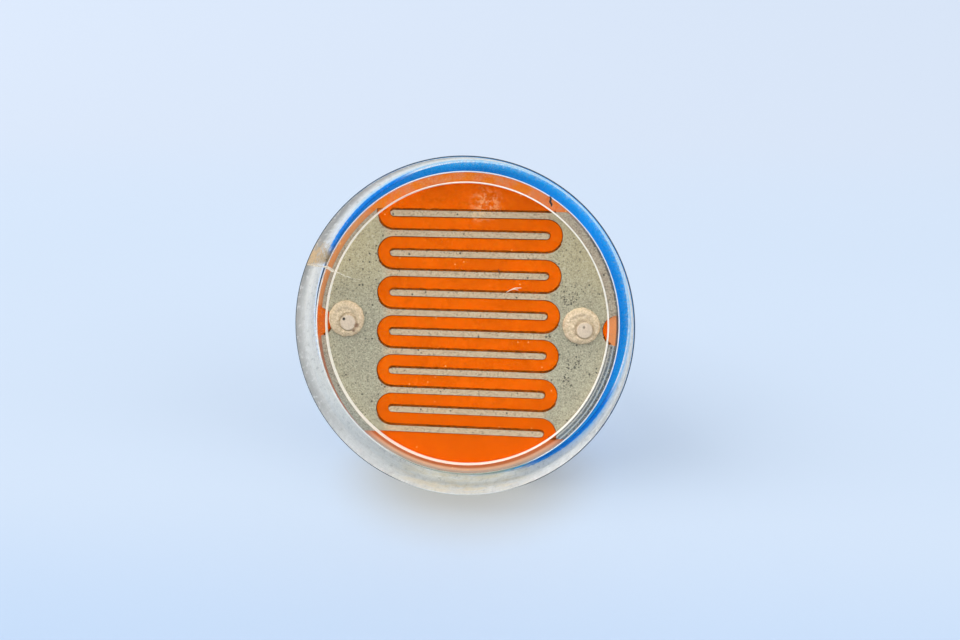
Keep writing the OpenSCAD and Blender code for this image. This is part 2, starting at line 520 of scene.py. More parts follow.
def clear_finish(colours):
    """Clear moulded plastic with a few fine rubbing marks on it."""
    made = Finish("clear_plastic")
    marks = made.noise(1.0, 3.0, 0.6, made.stretched(0.9, 9.0, 4.0))
    made.set(Base_Color=colours.clear, Transmission_Weight=1.0, IOR=PLASTIC_IOR,
             Specular_Tint=DULL_REFLECTION, Roughness=made.step(marks, 0.60, 0.75, 0.0, 0.06))
    return made.pass_light(made.shader.outputs[0], 0.95).material


def highlight_ring_finish():
    """The recess's wall and the ledge's rounded edge, painted white as a highlight ring. The ring lets light
    through at the upper left, and painted shade dulls the seat's corner at the bottom."""
    made = Finish("highlight_ring_edge")
    cloud = made.noise(3.0, 3.0)
    corner = made.times(made.step(made.radius(), 6.15, 6.25), made.step(made.up, -5.4, -6.0))
    # Painted highlight: white all round the ring, with painted shade on the seat's corner at the bottom
    tint = made.blend(corner, RING_HIGHLIGHT, CORNER_SHADE)
    made.set(Base_Color=tint, IOR=PLASTIC_IOR, Roughness=0.6,
             Transmission_Weight=made.step(cloud, 0.3, 0.7, 0.0, 0.12))
    through = made.node("BsdfTranslucent", {"Color": tint}).outputs[0]
    share = made.times(made.step(made.right, -1.5, -4.0, 0.0, 0.6), made.step(made.up, 0.3, 2.0))
    return made.pass_light(made.mixed(share, made.shader.outputs[0], through), 0.95).material


def dark_edge_finish(colours):
    """The cap's front edge, painted dark all round as shade, but left pale underneath."""
    made = Finish("shaded_front_edge")
    patchy = made.noise(2.5, 4.0, 0.6)
    # Painted shade: dark all round the front edge, fading to the scuffed tint underneath
    made.set(Base_Color=made.blend(made.step(made.up, -6.2, -6.9), EDGE_SHADE, colours.scuffed),
             IOR=PLASTIC_IOR, Specular_IOR_Level=0.1, Roughness=0.7,
             Transmission_Weight=made.step(patchy, 0.35, 0.65, 0.0, 0.35))
    return made.pass_light(made.shader.outputs[0], 0.6).material


def scuffed_finish(colours):
    """The scuffed side wall and rim: rough plastic that lets light through, with painted shade that makes it
    greyer towards the front edge and above the crack, less so at the bottom, painted light that makes it
    paler deeper in, streaks round it, an ochre stain beside the crack and yellowish marks underneath. A
    painted reflection of the resin's blue tints the wall's end, and the resin has crept a hair's breadth
    along it at the upper left and the lower right. The rim's end is hazy along its outer edge, and all over
    where the resin has come loose at the lower left."""
    made = Finish("scuffed_wall")
    right, up, out, angle, radius = made.right, made.up, made.out, made.angle(), made.radius()
    rim = made.node("CombineXYZ", {0: made.times(angle, CAP_RADIUS), 1: out}).outputs[0]
    streaks = made.noise(1.0, 4.0, 0.6, made.stretched(1.1, 6.0, 1.0, rim))
    marks = made.noise(1.0, 4.0, 0.7, made.stretched(4.5, 0.9, 1.0, rim))
    spots = made.noise(5.0, 4.0, 0.65)
    flecks = made.noise(7.0, 5.0, 0.75)
    fine = made.noise(11.0, 4.0, 0.7)

    # Painted shade: greyer at the front and above the crack, less so at the bottom. Painted light: paler
    #     deeper in. Scuffed with fine dark and pale marks
    above_crack = made.step(angle, 2.80, 2.77)
    dusk = made.times(made.step(angle, 2.1, 2.6, 0.0, 0.40), above_crack)
    shade = made.most(made.minus(made.step(out, -0.1, -3.7), dusk), made.step(up, -2.5, -5.5, 0.0, 0.65))
    made.tint = made.blend(shade, scaled(colours.scuffed, 0.40), colours.scuffed)
    made.paint(WALL_PAINTED_LIGHT, made.step(out, -1.5, -3.5))
    made.paint(scaled(colours.scuffed, 0.45), made.step(fine, 0.52, 0.72, 0.0, 0.5))
    made.paint(scaled(colours.scuffed, 0.42), made.step(marks, 0.52, 0.70, 0.0, 0.45))
    made.paint(WALL_BRIGHT, made.step(marks, 0.48, 0.32, 0.0, 0.38))
    made.paint(WALL_YELLOW, made.step(up, -6.1, -6.8, 0.0, 0.5), made.step(made.noise(1.4, 3.0), 0.35, 0.65))

    # Stain and dirt beside the crack
    ragged = made.plus(angle, made.times(made.minus(spots, 0.5), 0.30))
    beside = made.times(made.step(ragged, 2.62, 2.72), above_crack)
    made.paint(colours.stain, beside, made.step(spots, 0.30, 0.55, 0.35, 1.0))
    made.paint(WALL_DIRT, beside, made.step(made.noise(9.0, 3.0, 0.6), 0.58, 0.68, 0.0, 0.8))

    # The resin's blue at the wall's end: a painted reflection of it towards the upper right, and the resin
    # itself where it has crept along the wall
    made.paint(RESIN_BLUE_REFLECTION, made.step(out, -2.7, -3.9, 0.0, 0.75), made.step(made.plus(right, up), -1.5, 1.0),
               made.step(spots, 0.3, 0.6))
    slant = made.math("ABSOLUTE", made.minus(right, up))
    upward = made.plus(made.times(right, 0.8), made.times(up, 0.6))
    crept = made.times(made.step(upward, -3.5, -2.9), made.step(slant, 8.7, 9.4))
    uneven = made.plus(out, made.times(made.minus(flecks, 0.5), 0.8))
    creep = made.times(made.step(uneven, -3.74, -3.98, 0.0, 0.95), crept)
    made.paint(BLUE_CREEP, creep)

    # Rough and hazy on the wall, clear on most of the rim's end
    end = made.step(out, 0.03 - CAP_BACK, 0.01 - CAP_BACK)
    rough = made.times(made.step(streaks, 0.3, 0.7, 0.35, 0.6), made.minus(1.0, end))
    made.set(Base_Color=made.blend(end, made.tint, RIM_CLEAR), Transmission_Weight=1.0, IOR=PLASTIC_IOR,
             Specular_Tint=DULL_REFLECTION, Roughness=rough)
    through = made.node("BsdfTranslucent", {"Color": made.tint}).outputs[0]
    back = made.node("BsdfDiffuse", {"Color": made.tint}).outputs[0]
    lowest = made.times(made.step(up, -5.6, -6.6, 0.10, 0.48), made.step(out, -1.2, -3.0))
    haze = made.mixed(made.minus(0.6, lowest), through, back)
    wear = made.plus(made.times(streaks, 0.6), made.times(spots, 0.4))
    on_wall = made.most(made.step(wear, 0.35, 0.65, 0.84, 1.0), creep)
    clear_to = made.plus(6.85, made.step(slant, 6.6, 9.0, 0.0, 0.15),
                         made.step(right, -6.15, -6.35, 0.0, 0.10),
                         made.step(made.minus(right, up), 7.0, 9.0, 0.0, 0.05))
    past = made.minus(made.plus(radius, made.times(flecks, 0.60)), clear_to)
    on_end = made.most(made.loose(), made.step(past, 0.15, 0.43, 0.0, 0.72), beside,
                       made.times(made.step(radius, 6.80, 6.86), crept))
    share = made.node("Mix", {0: end, 2: on_wall, 3: on_end}).outputs[0]
    return made.pass_light(made.mixed(share, made.shader.outputs[0], haze), 0.7).material


def crack_finish():
    """Pale faces of the crack, broken up so that parts of it stay clear."""
    made = Finish("crack_faces")
    broken = made.noise(9.0, 3.0, 0.6)
    return made.set(Base_Color=made.blend(made.noise(4.0), CRACK_PALE, CRACK_WARM), Roughness=0.5,
                    Alpha=made.step(broken, 0.35, 0.55, 0.25, 0.9)).material


def orange_finish(colours):
    """Sintered orange layer: fine grain, slow mottling, darker clouds, small pale specks and the dried
    smear, with painted shade that darkens it towards the bottom. Under the ledge it has a painted veil of
    light at the top, painted shade at the left, peach in the bare spot at the right and painted bands of
    light and shade at the bottom."""
    made = Finish("orange_layer")
    orange = colours.orange
    right, up, radius, covered = made.right, made.up, made.radius(), made.under_ledge()
    grain = made.noise(14.0, 4.0, 0.7)
    mottle = made.noise(0.8, 3.0)
    cloud = made.noise(6.5, 4.0, 0.7)
    made.tint = made.blend(made.step(mottle, 0.35, 0.65), scaled(orange, 0.93), scaled(orange, 1.09))
    made.paint(scaled(orange, 0.68), made.step(cloud, 0.46, 0.66, 0.0, 0.6))
    made.paint(ORANGE_GRAIN, made.step(grain, 0.46, 0.66, 0.0, 0.55))
    # Under the ledge: a painted veil of light at the top, and painted shade at the left
    veil = made.blend(made.step(made.noise(1.7, 3.0), 0.42, 0.60), VEIL_PEACH, VEIL_ORANGE)
    made.paint(veil, covered, made.step(up, 0.5, 5.5, 0.35, 1.0), made.step(cloud, 0.35, 0.65, 0.3, 0.6))
    dull = made.blend(made.step(up, -0.4, -1.0), SIDE_OCHRE, SIDE_BROWN)
    level = made.math("ABSOLUTE", up)
    made.paint(dull, covered, made.step(right, -3.6, -4.8), made.step(level, 0.55, 0.85, 0.0, 0.65))
    made.paint(SPOT_PEACH, covered, made.near(DISC_RADIUS, 0.0, BARE_SPOT, 0.80), 0.6)
    # Painted shade, darker towards the bottom, and painted bands of light and shade under the ledge there
    made.paint(scaled(orange, 0.86), made.step(up, -2.8, -4.6, 0.0, 0.5))
    bands = made.blend(made.step(radius, 6.14, 6.23), BAND_RUST, BAND_PALE)
    bands = made.blend(made.step(radius, 6.25, 6.33), bands, BAND_GREY)
    made.paint(bands, covered, made.step(up, -4.0, -5.4, 0.0, 0.85))
    made.paint(EDGE_SHADOW, made.dark_rim())
    gap, chance = made.cells(2.6)
    made.paint(ORANGE_SPECK, made.step(gap, 0.11, 0.05), made.step(chance, 0.52, 0.54), 0.6)
    made.paint(SMEAR_ON_ORANGE, made.smear(), 0.55)
    return made.set(Base_Color=made.tint, Specular_IOR_Level=0.0,
                    Roughness=made.step(grain, 0.3, 0.7, 0.55, 0.75)).bump(grain, 0.006).material


def film_finish(colours):
    """Dull grey metal film: fine and coarse grain, soft mottling, dark pits, and spots where the pits
    crowd. It is warmer at the upper sides and in the thin fingers. Under the ledge it has painted light
    and shade: warmer above, bluish below and at the lower right, with painted dark and pale lines there."""
    made = Finish("grey_film")
    film = colours.film
    right, up, radius = made.right, made.up, made.radius()
    grain = made.noise(15.0, 3.0, 0.7)
    coarse = made.noise(7.5, 3.0, 0.7)
    mottle = made.noise(0.9, 3.0)
    aside = made.math("ABSOLUTE", right)
    made.tint = made.blend(made.step(mottle, 0.3, 0.7), scaled(film, 0.92), scaled(film, 1.08))
    made.paint(scaled(film, 1.22, 1.14, 0.97), made.step(up, 0.2, 3.0), made.step(aside, 2.8, 4.0))
    made.paint(scaled(film, 1.47, 1.15, 1.02), made.step(aside, 3.7, 3.2))
    # Under the ledge, painted light and shade: warmer above, bluish below, and dark lines at the lower right
    lower_right = made.step(made.minus(right, up), 5.5, 8.0)
    wave = made.math("SINE", made.times(radius, LINE_TURN))
    dark_lines = made.times(lower_right, made.step(wave, -0.7, 0.7, 0.2, 1.0))
    under = made.blend(made.step(up, -0.5, -4.0), scaled(film, 1.1, 0.95, 1.0), scaled(film, 0.9, 0.94, 1.1))
    under = made.blend(made.times(lower_right, made.step(radius, 6.05, 6.30)), under, FILM_BLUISH)
    under = made.blend(dark_lines, under, scaled(film, 0.26, 0.36, 0.66))
    made.paint(under, made.under_ledge())
    made.paint(EDGE_SHADOW, made.dark_rim())
    made.paint(scaled(film, 0.42), made.step(grain, 0.52, 0.66, 0.0, 0.72))
    made.paint(scaled(film, 1.5), made.step(grain, 0.47, 0.34, 0.0, 0.75))
    made.paint(scaled(film, 0.45), made.step(coarse, 0.54, 0.68, 0.0, 0.55))
    made.paint(scaled(film, 1.5), made.step(coarse, 0.46, 0.32, 0.0, 0.50))
    # Painted pale reflection lines under the ledge at the lower right
    made.paint(LINE_PALE, lower_right, made.step(wave, -0.4, -0.95, 0.0, 0.7), made.step(radius, 6.02, 6.06))
    crowd = made.most(made.near(4.44, 1.40, 0.15, 0.75), made.near(4.58, -1.47, 0.10, 0.55),
                      made.near(4.35, -2.25, 0.10, 0.40))
    large = made.pits(7.0, 0.40, 0.22, made.step(crowd, 0.0, 1.0, 0.94, 0.45))
    small = made.pits(12.0, 0.48, 0.28, made.step(crowd, 0.2, 0.9, 1.0, 0.5))
    pits = made.most(large, small)
    made.paint(scaled(film, 0.14), pits, 0.85)
    made.paint(SMEAR_ON_FILM, made.smear(), 0.5)
    made.set(Base_Color=made.tint, Specular_IOR_Level=0.25, Roughness=made.step(grain, 0.3, 0.7, 0.42, 0.62))
    return made.bump(made.minus(grain, pits), 0.006).material


def bleed_and_shade_finish(colours):
    """Dark edge of the film: where it bled into the orange layer, and painted shade where the edge is
    widened.
    """
    made = Finish("film_edge")
    grain = made.noise(9.0, 3.0)
    tint = made.blend(made.step(grain, 0.35, 0.65), colours.bleed_and_shade, BLEED_WARM)
    return made.set(Base_Color=tint, Specular_IOR_Level=0.0, Roughness=0.6).material


def cement_finish(colours):
    """Dried cement: grainy and cream, greyer on the boss over the lead, with painted shade in the groove
    round the boss and in a pit in it, and brown stains."""
    made = Finish("cream_cement")
    grain = made.noise(11.0, 4.0, 0.7)
    clouds = made.noise(3.0, 3.0)
    made.tint = made.blend(made.step(clouds, 0.35, 0.65), scaled(colours.cement, 0.86), colours.cement)
    made.paint(CEMENT_DARK, made.step(grain, 0.45, 0.65, 0.0, 0.7))
    made.paint(CEMENT_PALE, made.step(grain, 0.45, 0.32, 0.0, 0.6))
    boss = made.near_leads(0.30, 0.35)
    made.paint(BOSS_GREY, boss, 0.55)
    # Painted shade in the groove round the boss
    made.paint(GROOVE_SHADE, made.near_leads(0.36, 0.42), made.minus(1.0, boss),
               made.step(clouds, 0.35, 0.6, 0.15, 0.65))
    stains = made.most(made.near(-4.64, -0.12, 0.04, 0.14), made.near(-4.78, -0.36, 0.02, 0.10))
    made.paint(STAIN_BROWN, stains, 0.8)
    # Painted shade in the pits, fainter at the right
    faint = made.times(made.near(LEAD_X + PIT_RIGHT[0], PIT_RIGHT[1], 0.03, 0.08), 0.6)
    made.paint(PIT_SHADE, made.most(made.near(PIT_LEFT[0] - LEAD_X, PIT_LEFT[1], 0.045, 0.085), faint))
    rough = made.step(grain, 0.3, 0.7, 0.5, 0.75)
    return made.set(Base_Color=made.tint, Roughness=rough).bump(grain, 0.01).material


def ceramic_finish(colours):
    """Unglazed ceramic with a fine grain."""
    made = Finish("white_ceramic")
    grain = made.noise(12.0, 4.0, 0.7)
    tint = made.blend(made.step(grain, 0.3, 0.7), scaled(colours.ceramic, 0.9), colours.ceramic)
    rough = made.step(grain, 0.3, 0.7, 0.6, 0.8)
    return made.set(Base_Color=tint, Roughness=rough).bump(grain, 0.004).material


def wire_finish(colours):
    """Tinned wire: fine lines along its length and dull patches."""
    made = Finish("tinned_wire")
    lines = made.noise(1.0, 3.0, 0.6, made.stretched(26.0, 26.0, 0.35))
    patches = made.noise(1.3, 4.0, 0.6)
    tint = made.blend(made.step(patches, 0.35, 0.7), scaled(colours.wire, 0.72), colours.wire)
    rough = made.plus(made.step(patches, 0.3, 0.7, 0.46, 0.26), made.step(lines, 0.3, 0.7, 0.0, 0.10))
    return made.set(Base_Color=tint, Metallic=1.0, Roughness=rough).bump(lines, 0.004).material


def resin_finish(colours):
    """Cast blue resin: cloudy, with small pale spots and deeper at the upper left. Its face over the rim is
    lighter at the outer right and dark below the crack, and it is chalky where it has come away from the
    cap's wall."""
    made = Finish("blue_resin")
    right, up, out, radius = made.right, made.up, made.out, made.radius()
    clouds = made.noise(0.7, 4.0, 0.6)
    grain = made.noise(9.0, 4.0, 0.7)
    made.tint = made.blend(made.step(clouds, 0.3, 0.7), scaled(colours.resin, 0.9), colours.resin)
    made.paint(RESIN_DEEP, made.step(made.minus(up, made.times(right, 0.5)), 2.5, 6.3, 0.0, 0.42))
    front = made.step(out, -0.04 - CAP_BACK, -0.01 - CAP_BACK)
    made.paint(RESIN_CYAN, made.step(radius, 6.62, 6.86, 0.0, 0.5), front, made.step(right, -3.5, 0.0))
    made.paint(RESIN_PALE, made.step(grain, 0.52, 0.80, 0.0, 0.4))
    side = made.step(out, 0.015 - CAP_BACK, 0.04 - CAP_BACK)
    made.paint(RESIN_CHALK, made.step(radius, 6.30, 6.36), side, made.loose())
    made.paint(RESIN_SHADOW, made.step(right, -5.6, -6.1), made.step(up, 2.6, 2.2), front, 0.85)
    return made.set(Base_Color=made.tint, Specular_IOR_Level=0.25,
                    Roughness=made.step(grain, 0.3, 0.7, 0.22, 0.42)).bump(clouds, 0.03).material


def fibre_finish(name, tint):
    """A single fibre, a little uneven in colour."""
    made = Finish(name)
    uneven = made.noise(12.0, 2.0)
    return made.set(Base_Color=made.blend(uneven, tint, scaled(tint, 0.7)), Roughness=0.6).material


def floor_finish(stage):
    """Pale matte sweep with a trace of unevenness, softly lit from below as on a light table. Painted shade
    makes it darker and cooler in front, painted light paler behind, and a painted warm shadow lies where
    the part stands. It is lit more strongly right under the part."""
    made = Finish("pale_floor")
    floor = stage.floor
    world = made.node("TexCoord").outputs["Object"]
    side, along = made.parts(world)[:2]
    made.tint = made.blend(made.noise(0.03, 3.0), scaled(floor, 0.985), floor)
    # Painted shade, darker and cooler in front, and painted light, paler behind
    made.paint(scaled(floor, 0.84, 0.91, 0.99), made.step(along, -0.014, -0.026))
    made.paint(scaled(floor, 1.05, 1.01, 0.99), made.step(along, 0.02, 0.12))
    # Painted warm shadow where the part stands
    foot = lay((0.0, -CAP_RADIUS, CAP_BACK))
    gap = made.node("VectorMath", {0: world, 1: foot}, operation="DISTANCE").outputs["Value"]
    made.paint(scaled(floor, 0.86, 0.75, 0.62), made.step(gap, 0.0025, 0.0070, 1.0, 0.0))
    behind = made.minus(along, float(foot[1]))
    under = made.times(made.step(behind, -0.0020, -0.0010), made.step(behind, 0.0009, 0.0001),
                       made.step(made.math("ABSOLUTE", side), 0.0034, 0.0016))
    light = stage.floor_glow * FLOOR_LIGHT
    lit = made.blend(1.0 - stage.floor_glow, (0.0, 0.0, 0.0), made.tint)
    return made.set(Base_Color=lit, Emission_Color=made.tint, Roughness=0.9, Specular_IOR_Level=0.2,
                    Emission_Strength=made.step(under, 0.0, 1.0, light, UNDERLIGHT * light)).material


# Pieces

# Depth of the ledge's edge and of the seat's corner as a share of their width
FLAT = 0.4


def section_of_cap(sizes):
    """Half section of the cap, from the middle of its window round the rim to the middle of the recess. The
    ledge stands a hair's breadth off the film, so that the two faces never coincide."""
    radius, back, window = sizes.cap_radius, sizes.cap_depth, sizes.window
    seat, recess, ledge = sizes.seat_radius, sizes.recess_radius, sizes.seat_depth - FACE_GAP
    front_round, ledge_round, seat_round = sizes.front_rounding, sizes.ledge_rounding, sizes.seat_rounding
    face = np.linspace(0, radius - front_round, 12)
    return np.concatenate([
        np.stack([face, np.zeros(12)], -1),
        quarter(radius - front_round, front_round, front_round, -90, 0)[1:],
        np.stack([np.full(12, radius), np.linspace(front_round, back, 13)[1:]], -1),
        [(seat, back)],
        quarter(seat - seat_round, ledge + FLAT * seat_round, seat_round, 0, -90, FLAT),
        quarter(recess + ledge_round, ledge - FLAT * ledge_round, ledge_round, 90, 180, FLAT),
        [(recess, window), (0.0, window)],
    ])


def comb_edge(sizes):
    """Edge of the right-hand electrode against the orange layer, as points on the face: along each finger,
    half round its tip, back, and half round the next finger of the other comb."""
    half = sizes.finger_width / 2
    turn, pitch = sizes.run_width + half, sizes.finger_width + sizes.run_width
    levels = ((FINGER_COUNT - 1) / 2 - np.arange(FINGER_COUNT)) * pitch
    top, low = levels[0] + half, levels[-1] - half
    bend = np.linspace(math.pi / 2, -math.pi / 2, 25)
    path = [np.array([[math.sqrt(RECESS_RADIUS ** 2 - top ** 2), top]])]
    for level, following in zip(levels[0::2], levels[1::2]):
        path.append(np.stack([-FINGER_END - half * np.cos(bend), level + half * np.sin(bend)], -1))
        last = following == levels[-1]
        part = bend[bend >= -1e-9] if last else bend
        path.append(np.stack([FINGER_END + turn * np.cos(part), following + turn * np.sin(part)], -1))
    path.append(np.array([[FINGER_END + turn, low], [math.sqrt(RECESS_RADIUS ** 2 - low ** 2), low]]))
    return np.concatenate(path)


def resampled(path, pitch):
    """The same path with its points a given distance apart along it."""
    run = np.concatenate([[0.0], np.cumsum(np.linalg.norm(np.diff(path, axis=0), axis=1))])
    places = np.linspace(0, run[-1], max(8, int(run[-1] / pitch)))
    return np.stack([np.interp(places, run, path[:, k]) for k in range(path.shape[1])], -1)


def finished(piece, material, slot, *nodes):
    """Gives a piece its finish, lets it ride on the body, and hides the nodes it replaces. The slot is not
    used.
    """
    piece.data.materials.append(material)
    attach(piece, BODY)
    if nodes:
        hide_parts(*nodes)
    return piece


def redone(node, material):
    """Gives a CAD node's own object a finish in every slot."""
    mesh = frame["nodes"][node].data
    if not mesh.materials:
        mesh.materials.append(material)
    for index in range(len(mesh.materials)):
        mesh.materials[index] = material


class PHOTOCELL_OT_stage(bpy.types.Operator):
    """Pale sweep, soft light from all round and from both sides, and the camera."""

    bl_idname = "photocell.stage"
    bl_label = "Stage"

    def execute(self, context):
        scene = context.scene
        stage = scene.cell_stage
        self.sweep(stage)
        self.light(scene, stage)
        self.camera(scene, stage)
        scene.view_settings.view_transform = "Standard"
        scene.cycles.max_bounces = 24
        scene.cycles.transmission_bounces = 24
        return {"FINISHED"}

    def sweep(self, stage):
        """Flat floor that curves up behind to a gentle slope: an arc between two straight runs, carried
        sideways. Its sizes are in metres."""
        front, far, top = -0.6, 0.90, 0.47
        bend_at, bend_radius, half_width = 0.1, 0.4, 0.9
        curve = np.linspace(0, math.radians(35), 16)
        arc = np.stack([bend_at + bend_radius * np.sin(curve), bend_radius - bend_radius * np.cos(curve)], -1)
        run = np.concatenate([[(front, 0.0)], arc, [(far, top)]])
        points = np.empty((len(run), 2, 3))
        points[..., 0] = (-half_width, half_width)
        points[..., 1:] = run[:, None, :]
        mesh = bpy.data.meshes.new("pale_sweep")
        mesh.from_pydata(points.reshape(-1, 3).tolist(), [], grid_faces(len(run), 2, around=False).tolist())
        mesh.polygons.foreach_set("use_smooth", np.ones(len(mesh.polygons), bool))
        mesh.materials.append(floor_finish(stage))
        placed("pale_sweep", mesh)

    def light(self, scene, stage):
        """Even light from all round and two large soft lamps."""
        world = bpy.data.worlds.new("soft_surroundings")
        world.use_nodes = True
        sky = world.node_tree.nodes["Background"]
        sky.inputs["Color"].default_value = (*stage.sky, 1.0)
        sky.inputs["Strength"].default_value = stage.sky_strength
        scene.world = world
        self.lamp("key_light", (-0.62, -0.26, 0.66), 0.7, stage.key_power)
        self.lamp("fill_light", (0.62, -0.30, 0.34), 0.5, stage.fill_power)

    def lamp(self, name, place, size, power):
        """A square lamp at a place, turned to the part."""
        light = bpy.data.lights.new(name, "AREA")
        light.energy = power
        light.size = size
        light.color = (1.0, 0.98, 0.95)
        lamp = placed(name, light)
        lamp.location = place
        lamp.rotation_euler = (Vector(CENTRE) - lamp.location).to_track_quat("-Z", "Y").to_euler()

    def camera(self, scene, stage):
        """Camera that looks along a line given by its azimuth and elevation. It stands back along that line
        from the window's centre, shifted a little to the right and up."""
        azimuth, elevation = stage.azimuth, stage.elevation
        back = Vector((math.sin(azimuth) * math.cos(elevation), -math.cos(azimuth) * math.cos(elevation),
                       math.sin(elevation)))
        right = Vector((math.cos(azimuth), math.sin(azimuth), 0))
        up = back.cross(right)
        place = Vector(CENTRE) + stage.shift_right * right + stage.shift_up * up + stage.distance * back
        lens = bpy.data.cameras.new("camera")
        lens.sensor_width = 36.0
        lens.lens = stage.lens
        lens.clip_start = 0.001
        camera = placed("camera", lens)
        camera.matrix_world = Matrix((right, up, back)).transposed().to_4x4()
        camera.location = place
        scene.camera = camera


class PHOTOCELL_OT_cap(bpy.types.Operator):
    """Clear cap: its section turned round the axis. It is clear in front and inside, scuffed on the side
    wall and the rim's end, painted white on the recess's wall as a highlight, and painted dark along the
    front edge as shade."""

    bl_idname = "photocell.cap"
    bl_label = "Clear cap"

    def execute(self, context):
        sizes, colours = in_millimetres(context.scene.cell_sizes), context.scene.cell_colours
        section = section_of_cap(sizes)
        piece = turned("cap_shell", section[:, 0], section[:, 1], 384, 25.0)
        finished(piece, clear_finish(colours), "clear_plastic", "clear_cap")
        for material in (scuffed_finish(colours), highlight_ring_finish(), dark_edge_finish(colours)):
            piece.data.materials.append(material)
        piece.data.polygons.foreach_set("material_index", self.kinds(piece.data, sizes))
        return {"FINISHED"}

    def kinds(self, mesh, sizes):
        """Which of the finishes each face has, from where its middle lies on the section."""
        clear, scuffed, highlight_ring, dark_edge = range(4)
        near = 0.001
        recess, rounding, ledge = sizes.recess_radius, sizes.ledge_rounding, sizes.seat_depth
        seat, corner = sizes.seat_radius, sizes.seat_rounding
        centres = np.empty(len(mesh.polygons) * 3)
        mesh.polygons.foreach_get("center", centres)
        radii, depths = radii_and_depths(centres)
        side_wall = (radii > sizes.cap_radius - 0.01) & (depths > sizes.front_rounding)
        front_edge = (radii > sizes.cap_radius - 0.05) & (depths < sizes.front_rounding)
        rim_end = depths > sizes.cap_depth - near
        recess_wall = (np.abs(radii - recess) < near) & (depths > sizes.window + near) & (depths < ledge)
        ledge_edge = np.abs(radii - recess - rounding / 2) < rounding / 2 + near
        ledge_edge &= (depths > ledge - rounding - 0.01) & (depths < ledge - FACE_GAP - near / 2)
        seat_corner = (radii > seat - corner) & (radii < seat) & (np.abs(depths - ledge) < corner)
        # The recess's wall, ledge edge and seat corner take the painted highlight; the front edge takes
        # painted shade
        places = [front_edge, rim_end, seat_corner | recess_wall | ledge_edge, side_wall]
        return np.select(places, [dark_edge, scuffed, highlight_ring, scuffed], clear).astype(np.int32)


class PHOTOCELL_OT_crack(bpy.types.Operator):
    """Crack in the cap at the left: a thin sheet that follows the crack's line and goes down into the
    plastic, less and less deep towards the middle."""

    bl_idname = "photocell.crack"
    bl_label = "Crack"

    def execute(self, context):
        line = np.array([(-6.46, 2.45), (-6.08, 2.39), (-5.82, 2.40), (-5.61, 2.31), (-5.40, 2.18),
                         (-5.20, 2.18), (-4.93, 2.06), (-4.59, 1.95), (-4.23, 1.91)])
        start_depth = 0.02
        line = resampled(line, 0.05)
        line[:, 1] += 0.012 * wander(len(line), 11, 5, 3)
        share = np.linspace(0, 1, len(line))
        depth = 1.20 - 1.05 * rise(share, 0.25, 0.75)
        thick = 0.009 * (1 - 0.75 * rise(share, 0.30, 1.0))
        thick[[0, -1]] = 0.002
        side = np.stack([0 * thick, thick, 0 * thick, -thick], -1)
        front = np.stack([0 * depth, -depth / 2, -depth, -depth / 2], -1)
        finished(carried("cap_crack", line, start_depth, side, front), crack_finish(), "clear_plastic")
        return {"FINISHED"}


class PHOTOCELL_OT_disc(bpy.types.Operator):
    """Ceramic disc and the orange layer on its face, which keep their CAD shapes."""

    bl_idname = "photocell.disc"
    bl_label = "Disc"

    def execute(self, context):
        colours = context.scene.cell_colours
        redone("ceramic_disc", ceramic_finish(colours))
        redone("photo_layer", orange_finish(colours))
        return {"FINISHED"}


class PHOTOCELL_OT_electrodes(bpy.types.Operator):
    """Metal film of both combs, which keeps its CAD shape, and the dark bleed along its edge, partly painted
    shade: a low wedge carried along the edge, with a width that wanders."""

    bl_idname = "photocell.electrodes"
    bl_label = "Electrodes"

    def execute(self, context):
        sizes, colours = in_millimetres(context.scene.cell_sizes), context.scene.cell_colours
        film, bleed_and_shade = film_finish(colours), bleed_and_shade_finish(colours)
        edge = resampled(comb_edge(sizes), 0.045)
        bend = np.radians(np.linspace(-62, 62, 40))
        spot = np.stack([DISC_RADIUS - BARE_SPOT * np.cos(bend), BARE_SPOT * np.sin(bend)], -1)
        for name, turn in (("right", 1.0), ("left", -1.0)):
            redone("electrode_" + name, film)
            for what, line in (("film_edge_", turn * edge + COMB_SHIFT), ("spot_edge_", turn * spot)):
                finished(self.wedge(what + name, line, sizes.bleed_and_shade_width), bleed_and_shade, "grey_film")
        return {"FINISHED"}

    def wedge(self, name, line, width):
        """A low wedge along a line. Where the line runs to the left, on the upper side of a finger, the
        wedge is wider, stands higher and reaches further over the film, as painted shade."""
        run = np.gradient(line, axis=0)
        upper = rise(-run[:, 0] / np.linalg.norm(run, axis=1), -0.2, 0.8)
        wide = width * (0.8 + 0.35 * wander(len(line), 21, 40, 60)) * (0.6 + 0.4 * upper)
        over = 0.006 + 0.034 * upper
        top = 0.045 + 0.007 * upper
        side = np.stack([over, over, 0 * wide - 0.004, -0.6 * wide, -wide], -1)
        front = np.stack([0 * wide - 0.01, top, top, 0 * wide + 0.016, 0 * wide - 0.01], -1)
        return carried(name, line, FILM_BACK, side, front)


